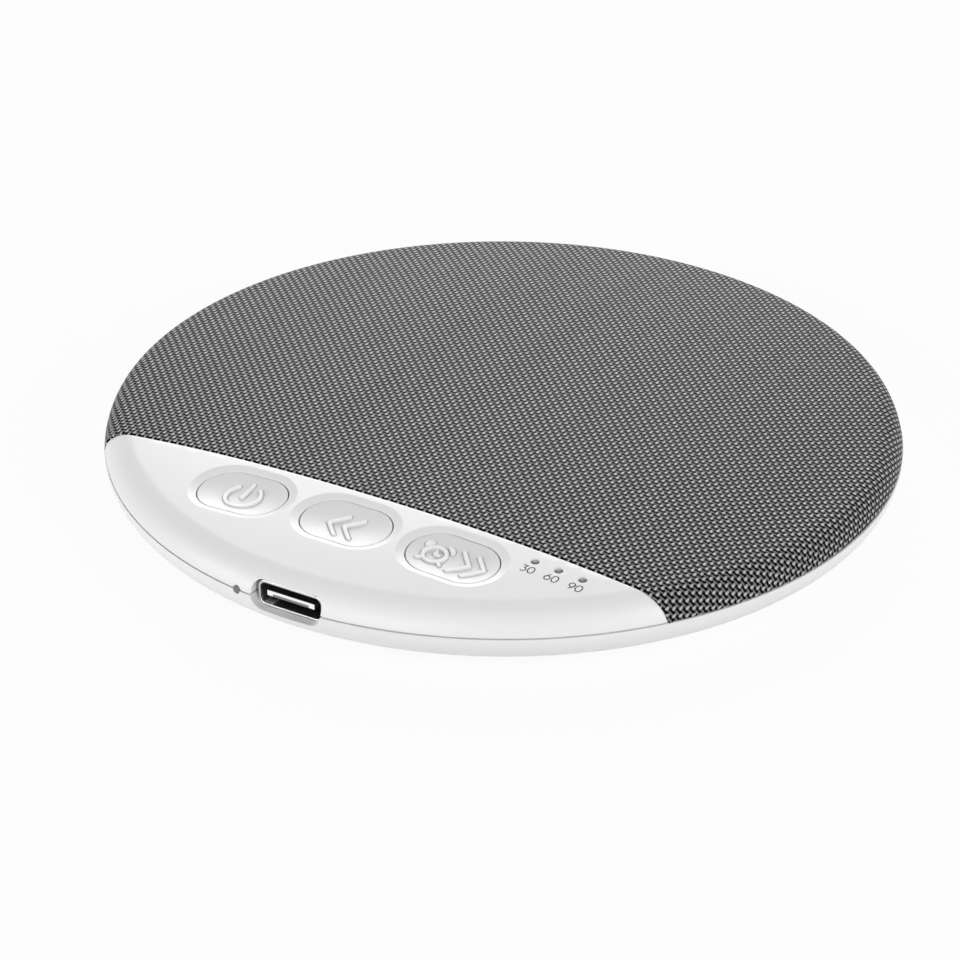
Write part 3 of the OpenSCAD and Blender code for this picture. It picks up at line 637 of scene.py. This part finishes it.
class Shell:
    """Faces of a skin, with rounded edges and walls added along their borders."""

    def __init__(self, points, faces, places=None, map_name="weave"):
        self.points = [np.asarray(points)]
        self.count = len(points)
        self.faces = [tuple(f) for f in faces]
        self.places = [places] if places is not None else None
        self.map_name = map_name

    def add_ring(self, last, points, places=None):
        """Joins a new row of points to the last one, and gives its corners."""
        fresh = list(range(self.count, self.count + len(points)))
        self.points.append(np.asarray(points))
        self.count += len(points)
        if self.places is not None:
            self.places.append(places)
        n = len(last)
        for i in range(n):
            j = (i + 1) % n
            self.faces.append((last[j], last[i], fresh[i], fresh[j]))
        return fresh

    def wall(self, loop, towards, inward, fillet, depth, steps=4, maps=None):
        """Rounds the border over by fillet, then goes straight in by depth. maps gives the
        border's places on the map at a distance beyond it."""
        base = np.concatenate(self.points)[loop]
        last = list(loop)
        for k in range(1, steps + 1):
            a = math.pi / 2 * k / steps
            along = fillet * a
            spot = base + fillet * (math.sin(a) * towards + (1 - math.cos(a)) * inward)
            last = self.add_ring(last, spot, maps and maps(along))
        spot = base + fillet * towards + (fillet + depth) * inward
        return self.add_ring(last, spot, maps and maps(along + depth))

    def close(self, loop):
        self.faces.append(tuple(loop))

    def build(self, name, body, slot, *nodes, material=None):
        mesh = bpy.data.meshes.new(name)
        mesh.from_pydata((np.concatenate(self.points) * MM).tolist(), [], self.faces)
        mesh.materials.append(material or MATERIALS[slot])
        if self.places is not None:
            layer = mesh.uv_layers.new(name=self.map_name)
            corners = np.empty(len(mesh.loops), dtype=np.int32)
            mesh.loops.foreach_get("vertex_index", corners)
            layer.data.foreach_set("uv", np.concatenate(self.places)[corners].ravel())
        mesh.polygons.foreach_set("use_smooth", [True] * len(mesh.polygons))
        mesh.set_sharp_from_angle(angle=SHARP_ANGLE)
        mesh.update()
        piece = bpy.data.objects.new(name, mesh)
        bpy.context.scene.collection.objects.link(piece)
        if nodes:
            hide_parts(*nodes)
        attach(piece, body)
        return piece


def lofted(rings, joined=False):
    """Skin over a row of rings: joined end to start, or capped at both ends."""
    shell = Shell(rings[0], [])
    first = last = list(range(len(rings[0])))
    for ring in rings[1:]:
        last = shell.add_ring(last, ring)
    n = len(first)
    if joined:
        shell.faces += [(last[(i + 1) % n], last[i], first[i], first[(i + 1) % n])
                        for i in range(n)]
    else:
        shell.close(first)
        shell.close(last[::-1])
    spots = np.concatenate(shell.points)
    volume = sum(np.dot(spots[f[0]], np.cross(spots[f[i]], spots[f[i + 1]]))
                 for f in shell.faces for i in range(1, len(f) - 1))
    if volume < 0:
        shell.faces = [f[::-1] for f in shell.faces]
    return shell


# ---- Control panel ----

EDGE_FILLET = 0.22
HOLE_FILLET = 0.07
SEAM_FILLET = 0.05
MOUTH_FILLET = 0.12
PANEL_GAP = 0.15
EDGE_DEPTH, KEY_HOLE_DEPTH, LIGHT_HOLE_DEPTH, MOUTH_DEPTH = 1.0, 1.5, 1.2, 2.3
PANEL_LOW = SEAM_Z + PANEL_GAP + SEAM_FILLET
PANEL_BACK = CHORD_Y - EDGE_FILLET
CHARGE_R = CHARGE_D / 2 + MOUTH_FILLET


def chord_line(y, s_end, step):
    """The straight edge on the map: along the dome, and down the rim at both ends."""
    r_end = float(np.interp(s_end, SKIN_S, SKIN_R))
    reach = math.sqrt(r_end ** 2 - y * y)
    x = reach * np.sin(np.linspace(0, math.pi / 2, int(reach / step)))
    half = on_map(x, np.full(len(x), y))
    half[-1] = np.array([reach, y]) / r_end * s_end
    return np.concatenate([(half * [-1, 1])[:0:-1], half])


def seam_arc(s, corner, step):
    """Seam on the map between the ends of the straight edge, round the front."""
    a0 = math.atan2(corner[1], corner[0])
    a1 = -math.pi - a0
    count = int(abs(a1 - a0) * s / step)
    a = np.linspace(a0, a1, count + 1)[1:-1]
    return s * np.column_stack([np.cos(a), np.sin(a)])


def edge_rings(s_end, step):
    """Places of the mesh rings along the section, close together where the edge sets in."""
    return np.concatenate([np.arange(EDGE_S - 2, EDGE_S - 0.3, step),
                           EDGE_S + np.array([-0.15, 0, 0.15, 0.3]),
                           np.arange(EDGE_S + 0.3 + step, s_end, step)])


def cap_ring(x, grow):
    """Line round a key's hole on the map, at the given distance from it."""
    return on_map(*(stadium(CAP_L, CAP_W, 130, CAP_GAP + grow) + [x, KEY_Y]).T)


def light_ring(x, grow):
    return on_map(*(circle(28) * (LIGHT_D / 2 + grow) + [x, LIGHT_Y]).T)


def key_lines(x):
    """Mesh lines round a key's hole and along the rim of its bowl, on the map."""
    rim, out = bowl_rim(x)
    shifts = (0, -0.12, 0.12, -0.3, 0.3, -0.6, 0.6)
    return ([cap_ring(x, grow) for grow in (0.35, 0.7)]
            + [on_map(*(rim + shift * out).T) for shift in shifts])


def mouth_line():
    """Edge of the mouth above the seam, on the map, from right to left."""
    line = rounded_box(MOUTH_W, MOUTH_H, MOUTH_CORNER, MOUTH_FILLET)
    line = line[line[:, 1] + MOUTH_Z > PANEL_LOW + 0.02]
    line = line[np.argsort(np.arctan2(line[:, 1] + 0.6, line[:, 0]))]
    return rim_on_map(line[:, 0], line[:, 1] + MOUTH_Z)


def charge_line():
    """Edge of the charge light's hole above the seam, on the map, from right to left."""
    line = circle(28) * CHARGE_R
    line = line[line[:, 1] + SEAM_Z > PANEL_LOW + 0.02]
    line = line[np.argsort(-line[:, 0])]
    return rim_on_map(line[:, 0] + CHARGE_X, line[:, 1] + SEAM_Z)


def in_mouth(x, z):
    return in_stadium(x, z - MOUTH_Z, MOUTH_W, MOUTH_H, MOUTH_FILLET)


def in_charge_hole(x, z):
    return np.hypot(x - CHARGE_X, z - SEAM_Z) < CHARGE_R


def cut_in(outer, line, inside):
    """The outline, with the stretch of its seam that a cut-out takes replaced by the line."""
    points, _ = on_skin(outer)
    gone = inside(points[:, 0], points[:, 2]) & (points[:, 1] < CHORD_Y - 5)
    first = int(np.argmax(gone))
    last = len(gone) - int(np.argmax(gone[::-1]))
    return np.concatenate([outer[:first], line, outer[last:]])


def outline_wall(shell, loop, normals):
    """Rounds the panel's outline over: straight edge, seam, mouth and charge light's hole."""
    p, n = shell.points[0][loop], normals[loop]
    on_chord = p[:, 1] > PANEL_BACK - 0.01
    on_seam = p[:, 2] < PANEL_LOW + 0.004
    cut_out = ~on_chord & ~on_seam
    at_mouth = cut_out & (np.abs(p[:, 0]) < MOUTH_W / 2 + 0.5)
    at_charge = cut_out & ~at_mouth
    towards = np.zeros(p.shape)
    towards[on_chord] += [0, 1, 0]
    towards[on_seam] += [0, 0, -1]
    upright = p[:, [0, 2]]
    mouth_spots = from_middle(upright - [0, MOUTH_Z], MOUTH_W / 2 - MOUTH_CORNER,
                              MOUTH_H / 2 - MOUTH_CORNER)
    for there, spots in ((at_mouth, mouth_spots), (at_charge, upright - [CHARGE_X, SEAM_Z])):
        way = -unit(spots[there])
        towards[there] = np.column_stack([way[:, 0], np.zeros(len(way)), way[:, 1]])
    inward = -unit(n - towards * np.sum(n * towards, axis=1, keepdims=True))
    inward[cut_out] = [0, 1, 0]
    on_seam &= ~on_chord
    inward[on_seam] = level(-unit(p[:, :2]))[on_seam]
    fillet = np.select([on_chord, on_seam], [EDGE_FILLET, SEAM_FILLET], MOUTH_FILLET)
    depth = np.select([on_chord, on_seam], [EDGE_DEPTH, SEAM_DEPTH], MOUTH_DEPTH)
    shell.wall(loop, towards, inward, fillet[:, None], depth[:, None])


def hole_wall(shell, loop, middle, half, depth):
    """Rounds the edge of a hole over and goes straight down."""
    spots = shell.points[0][loop][:, :2] - middle
    shell.wall(loop, level(-unit(from_middle(spots, half))), DOWN, HOLE_FILLET, depth)


def panel():
    seam_s = SEAM_S - PANEL_GAP - SEAM_FILLET
    chord = chord_line(PANEL_BACK, seam_s, 0.5)
    outer = np.concatenate([chord, seam_arc(seam_s, chord[-1], 0.5)])
    outer = cut_in(outer, mouth_line(), in_mouth)
    outer = cut_in(outer, charge_line(), in_charge_hole)
    holes = [cap_ring(x, HOLE_FILLET) for x in KEY_XS]
    holes += [light_ring(x, HOLE_FILLET) for x in LIGHT_XS]

    layers = [(line, 0.1) for x in KEY_XS for line in key_lines(x)]
    layers += [(light_ring(x, 0.3), 0.1) for x in LIGHT_XS]
    layers += [(arcs_at(edge_rings(seam_s, 0.36), math.pi, 2 * math.pi, 0.5), 0.16),
               (hex_grid((-56, -56), (56, -31), 0.75), 0.3)]
    layers = [(p[in_polygon(p, outer)], clear) for p, clear in layers]
    spots, triangles, loops = triangulate(outer, holes, layers)

    points, normals = on_skin(spots)
    sunk = points.copy()
    for x in KEY_XS:
        drop, way = bowl_drop(points, x)
        near = np.abs(points[:, 0] - x) < DISH_L / 2 + 1
        sunk -= np.where(near, drop, 0)[:, None] * way
    shell = Shell(sunk, triangles)
    outline_wall(shell, loops[0], normals)
    for loop, x in zip(loops[1:4], KEY_XS):
        hole_wall(shell, loop, [x, KEY_Y], CAP_HALF, KEY_HOLE_DEPTH)
    for loop, x in zip(loops[4:], LIGHT_XS):
        hole_wall(shell, loop, [x, LIGHT_Y], 0, LIGHT_HOLE_DEPTH)
    shell.build("panel", "housing", "white_case", "top_shell")


# ---- Keys with their raised signs ----

CAP_FILLET, CAP_SKIRT = 0.1, 1.6
STROKE, HAND_STROKE = 0.25, 0.19
SIGN_EDGE = 0.05
SIGN_FOOT = 0.03
SIGN_RAISE, SIGN_LEAST = 0.3, 0.09
SIGN_LEVEL = 0.6
SIGN_GROOVE = 0.12
SIGN_SHIFTS = (-0.13, -SIGN_EDGE, -0.01, SIGN_FOOT, 0.1, 0.18, 0.26)


def arc_line(x, y, r, a0, a1, step=0.06):
    a = np.radians(np.linspace(a0, a1, max(3, int(abs(math.radians(a1 - a0)) * r / step))))
    return np.column_stack([x + r * np.cos(a), y + r * np.sin(a)])


def straight_line(*corners, step=0.06):
    out = []
    for p, q in zip(corners, corners[1:]):
        n = max(2, int(math.dist(p, q) / step))
        out.append(np.linspace(p, q, n, endpoint=False))
    out.append(np.array([corners[-1]]))
    return np.concatenate(out)


def chevron(tip, arm_x, arm_y):
    """One arrow head. Its upper arm is a tenth shorter than the lower one."""
    x, y = tip
    return straight_line((x + 0.9 * arm_x, y + 0.9 * arm_y), tip, (x + arm_x, y - arm_y))


class Bell:
    """Filled half disc of the alarm clock. facing is where its round side points."""

    def __init__(self, x, y, r, facing):
        self.spot, self.r, self.facing = np.array([x, y]), r, facing

    def gap(self, spots):
        a = math.radians(self.facing)
        ahead = (spots - self.spot) @ [math.cos(a), math.sin(a)]
        side = (spots - self.spot) @ [-math.sin(a), math.cos(a)]
        return np.where(ahead > 0, np.hypot(ahead, side) - self.r,
                        np.hypot(np.maximum(np.abs(side) - self.r, 0), ahead))

    def outline(self):
        arc = arc_line(*self.spot, self.r, self.facing - 90, self.facing + 90)
        return np.concatenate([arc, straight_line(arc[-1], arc[0])])


def alarm_clock(x, y):
    """Face ring, two bells, two feet and the hands."""
    face_r, bell_at, bell_r, foot_from, foot_to, hand = 1.48, 1.95, 0.7, 1.6, 2.3, 0.68
    parts = [(arc_line(x, y, face_r, 0, 360), STROKE)]
    for bearing in (45, 135):
        a = math.radians(bearing)
        parts.append((Bell(x + bell_at * math.cos(a), y + bell_at * math.sin(a), bell_r, bearing), 0))
    for bearing in (225, 315):
        a = math.radians(bearing)
        parts.append((straight_line((x + foot_from * math.cos(a), y + foot_from * math.sin(a)),
                                    (x + foot_to * math.cos(a), y + foot_to * math.sin(a))), STROKE))
    parts.append((straight_line((x, y + hand), (x, y), (x + hand, y)), HAND_STROKE))
    return parts


SIGNS = {
    "power": [(arc_line(0.1, 0.0, 2.28, 134, 408), STROKE),
              (straight_line((0.13, -0.28), (0.11, 2.5)), STROKE)],
    "previous": [(chevron((-2.34, -0.2), 2.07, 2.2), STROKE),
                 (chevron((-0.14, -0.2), 2.07, 2.2), STROKE)],
    "timer": alarm_clock(-2.59, 0.0) + [(chevron((2.37, 0.0), -2.0, 2.2), STROKE),
                                        (chevron((4.5, 0.0), -2.0, 2.2), STROKE)],
}


def sign_gap(spots, strokes):
    """Distance of places on the cap from the sign's outline, negative on the sign."""
    least = np.full(len(spots), 9.0)
    for line, half in strokes:
        if isinstance(line, Bell):
            gap = line.gap(spots)
        else:
            tree = KDTree(len(line))
            for i, p in enumerate(line):
                tree.insert((p[0], p[1], 0), i)
            tree.balance()
            gap = np.array([tree.find((p[0], p[1], 0))[2] for p in spots])
        least = np.minimum(least, gap - half)
    return least


def sign_points(strokes):
    """Mesh points along both edges of each stroke and round its ends, so that they run clean."""
    out = []
    ring = circle(24)
    for line, half in strokes:
        if isinstance(line, Bell):
            line = line.outline()
        ahead = unit(np.gradient(line, axis=0))
        across = np.column_stack([-ahead[:, 1], ahead[:, 0]])
        for shift in SIGN_SHIFTS:
            for side in (-1, 1):
                out.append((line + side * (half + shift) * across)[::2])
            if math.dist(line[0], line[-1]) > 0.2:
                out.extend(line[end] + (half + shift) * ring for end in (0, -1))
    out = np.concatenate(out)
    gap = sign_gap(out, strokes)
    near = np.min([np.abs(gap - shift) for shift in SIGN_SHIFTS], axis=0) < 0.012
    return out[near]


def key_cap(name, x):
    """The cap continues the bottom of its bowl. Its sign stands up, with a fine groove round it."""
    strokes = SIGNS[name]
    outline = stadium(CAP_L, CAP_W, 150, -CAP_FILLET)
    layers = [(stadium(CAP_L, CAP_W, 140, -CAP_FILLET - 0.15), 0.05), (sign_points(strokes), 0.03),
              (hex_grid((-6.2, -4.2), (6.2, 4.2), 0.16), 0.07)]
    layers = [(p[in_stadium(*p.T, CAP_L, CAP_W, -CAP_FILLET - 0.03)], clear) for p, clear in layers]
    spots, triangles, loops = triangulate(outline, [], layers)
    plan = spots + [x, KEY_Y]
    points = np.column_stack([plan, skin_height(*plan.T)])
    drop, way = bowl_drop(points, x)
    points[:, 2] -= drop / way[2]
    origin, turn = bowl_frame(x)
    climb = ((points - origin) @ turn)[:, 2] + DISH_DEPTH
    rise = np.maximum(SIGN_RAISE - SIGN_LEVEL * climb, SIGN_LEAST)
    gap = sign_gap(spots, strokes)
    share = np.clip((SIGN_FOOT - gap) / (SIGN_FOOT + SIGN_EDGE), 0, 1)
    groove = np.interp(gap, [-SIGN_EDGE, SIGN_FOOT, 0.1, 0.18], [0, 1, 0.8, 0])
    points += (rise * share - SIGN_GROOVE * groove)[:, None] * turn[:, 2]
    shell = Shell(points, triangles, np.column_stack([share, 0 * share]), "sign")
    loop = loops[0]
    towards = level(unit(from_middle(spots[loop], CAP_HALF)))
    shell.close(shell.wall(loop, towards, DOWN, CAP_FILLET, CAP_SKIRT,
                           maps=lambda along: np.zeros((len(loop), 2))))
    shell.build(name + "_cap", name + "_button", "white_keys", name + "_key")


# ---- Printed numbers by the timer lights ----

DIGIT_HALF_W, DIGIT_HALF_H, DIGIT_STROKE = 0.40, 0.60, 0.085
DIGIT_APART = 0.5
NUMBERS_SHIFT, NUMBERS_Y = -0.02, -35.47
INK_HEIGHT = 0.006


def oval(x, y, a, b, start=0, end=360, count=40):
    t = np.radians(np.linspace(start, end, count))
    return np.column_stack([x + a * np.cos(t), y + b * np.sin(t)])


def digit(kind):
    """Centre lines of one digit, round the origin. A 9 is a 6 turned over."""
    w, h = DIGIT_HALF_W, DIGIT_HALF_H
    if kind == "0":
        return [oval(0, 0, w, h)]
    if kind == "3":
        top = straight_line((-0.8 * w, h), (0.75 * w, h), (-0.05 * w, 0.2 * h))
        return [np.concatenate([top, oval(-0.05 * w, -0.4 * h, 0.85 * w, 0.6 * h, 90, -140)[1:]])]
    a, b = 0.6 * h, 0.672 * h
    loop = oval(0, -h + b, a, b)
    p, q, r, s = np.array([(0.5 * w, h), (0.05 * w, 0.72 * h), (-0.45 * w, 0.3 * h), (-a, -h + b)])
    t = np.linspace(0, 1, 20)[:, None]
    stem = (1 - t) ** 3 * p + 3 * (1 - t) ** 2 * t * q + 3 * (1 - t) * t ** 2 * r + t ** 3 * s
    return [loop, stem] if kind == "6" else [-loop, -stem]


def printed_numbers():
    """Thin ink strokes that lie on the panel."""
    points, faces = [], []
    for light_x, tens in zip(LIGHT_XS, "369"):
        for kind, dx in ((tens, -DIGIT_APART), ("0", DIGIT_APART)):
            middle = [light_x + dx + NUMBERS_SHIFT, NUMBERS_Y]
            for line in digit(kind):
                ahead = unit(np.gradient(line, axis=0))
                across = np.column_stack([-ahead[:, 1], ahead[:, 0]])
                start, n = len(points), len(line)
                for side in (-1, 1):
                    spot = line + side * DIGIT_STROKE * across + middle
                    top, normal = on_skin(on_map(*spot.T))
                    points.extend(top + INK_HEIGHT * normal)
                faces += [(start + i, start + i + 1, start + n + i + 1, start + n + i)
                          for i in range(n - 1)]
    Shell(np.array(points), faces).build("timer_numbers", "housing", "white_case", material=INK)


# ---- Socket in the mouth, and the ends of the timer pins ----

SOCKET_LIP, SOCKET_WALL, SOCKET_FLARE = 0.07, 0.36, 0.2
SOCKET_BEVEL = 0.03


def socket_shell():
    """Drawn steel sleeve, with a rounded lip and a front that flares out a little."""
    lip, wall, flare, bevel, front = SOCKET_LIP, SOCKET_WALL, SOCKET_FLARE, SOCKET_BEVEL, SOCKET_FRONT
    section = [(-flare, SOCKET_REAR), (-flare, front + 0.9), (0, front + 0.6), (0, front + lip),
               (-bevel, front + bevel), (-lip, front), (-wall + lip, front),
               (-wall + bevel, front + bevel), (-wall, front + lip), (-wall, SOCKET_REAR)]
    rings = []
    for grow, y in section:
        x, z = rounded_box(SOCKET_W, SOCKET_H, SOCKET_CORNER, grow).T
        rings.append(np.column_stack([x, np.full(len(x), y), z + SOCKET_Z]))
    lofted(rings, joined=True).build("socket_shell", "housing", "steel", "usb_shell")


def bar(half_x, z0, z1, y0, y1):
    """Flat bar across the socket."""
    corners = [(-half_x, z0), (half_x, z0), (half_x, z1), (-half_x, z1)]
    return lofted([np.array([(x, y, z) for x, z in corners]) for y in (y0, y1)])


def tongue():
    """Front end of the contact tongue: black tip, plated nose, and the grey strip on the nose."""
    low = MOUTH_Z - 0.27
    high, front = low + TONGUE_T, TONGUE_FRONT
    bar(TONGUE_HALF, low, high, front, TONGUE_BASE).build("tongue_tip", "housing", "black_plastic")
    bar(TONGUE_HALF, low, high, front - 0.08, front - 0.005).build(
        "tongue_nose", "housing", "steel", material=TIN)
    bar(2.6, low + 0.02, low + 0.32, front - 0.12, front - 0.085).build(
        "tongue_face", "housing", "black_plastic", material=GREY_LCP)


def timer_pins():
    """The three light pins as one piece, with slightly domed ends just under the panel."""
    points, faces = [], []
    for x in LIGHT_XS:
        rings = []
        for share, drop in ((0.25, 0), (0.6, 0), (0.85, 0), (1, 0), (1, 2.2)):
            ring = circle(36) * PIN_R * share + [x, LIGHT_Y]
            z = skin_height(*ring.T) - 0.05 - 0.2 * share * share - drop
            rings.append(np.column_stack([ring, z]))
        pin = lofted(rings)
        faces += [tuple(i + len(points) for i in f) for f in pin.faces]
        points.extend(np.concatenate(pin.points))
    Shell(np.array(points), faces).build("timer_pins", "housing", "lens", "timer_light_guides")


# ---- Woven cover ----

CLOTH_FILLET, CLOTH_TUCK, CLOTH_SWELL = 0.3, 0.8, 0.2


def cover():
    """One stretched sheet over the grille, rounded over and tucked in all round."""
    front_y, seam_s = CHORD_Y + CLOTH_FILLET, SEAM_S - CLOTH_FILLET
    chord = chord_line(front_y, seam_s, 0.6)
    a0 = math.atan2(chord[-1][1], chord[-1][0])
    a = np.linspace(a0, math.pi - a0, 560)[1:-1]
    outer = np.concatenate([chord, seam_s * np.column_stack([np.cos(a), np.sin(a)])])
    strips = np.concatenate([chord_line(front_y + d, seam_s, 0.6) for d in (0.25, 0.6)])
    layers = [(strips, 0.12), (arcs_at(edge_rings(seam_s, 0.34), 0, 2 * math.pi, 0.6), 0.2),
              (hex_grid((-58, -34), (58, 58), 1.3), 0.5)]
    layers = [(p[in_polygon(p, outer)], clear) for p, clear in layers]
    spots, triangles, loops = triangulate(outer, [], layers)

    points, normals = on_skin(spots)
    rounding = np.clip((np.hypot(*spots.T) - EDGE_S) / (SEAM_S - EDGE_S), 0, 1)
    points += CLOTH_SWELL * np.sin(math.pi * rounding)[:, None] ** 2 * normals
    shell = Shell(points, triangles, spots / THREAD)
    loop = loops[0]
    p, n, base = points[loop], normals[loop], spots[loop]
    on_chord = p[:, 1] < front_y + 0.01
    towards = np.zeros(p.shape)
    towards[on_chord] += [0, -1, 0]
    towards[p[:, 2] < SEAM_Z + CLOTH_FILLET + 0.01] += [0, 0, -1]
    inward = -unit(n - towards * np.sum(n * towards, axis=1, keepdims=True))
    flat_way = np.where(on_chord[:, None], [0.0, -1.0], unit(base))
    shell.wall(loop, towards, inward, CLOTH_FILLET, CLOTH_TUCK - CLOTH_FILLET,
               maps=lambda along: (base + along * flat_way) / THREAD)
    piece = shell.build("woven_cover", "housing", "grille_cloth", "grille_cloth")


# ---- The scene ----

add_camera()
set_world()
add_floor()
for lamp in LAMPS:
    area_light(*lamp)
bpy.context.scene.view_settings.view_transform = "Standard"

node_slot = {s["node"]: s["material_slot"] for s in frame["record"]["subparts"]}
for node, piece in frame["nodes"].items():
    piece.data.materials.clear()
    piece.data.materials.append(MATERIALS[node_slot[node]])

panel()
for key_name, key_x in zip(("power", "previous", "timer"), KEY_XS):
    key_cap(key_name, key_x)
printed_numbers()
socket_shell()
tongue()
timer_pins()
cover()
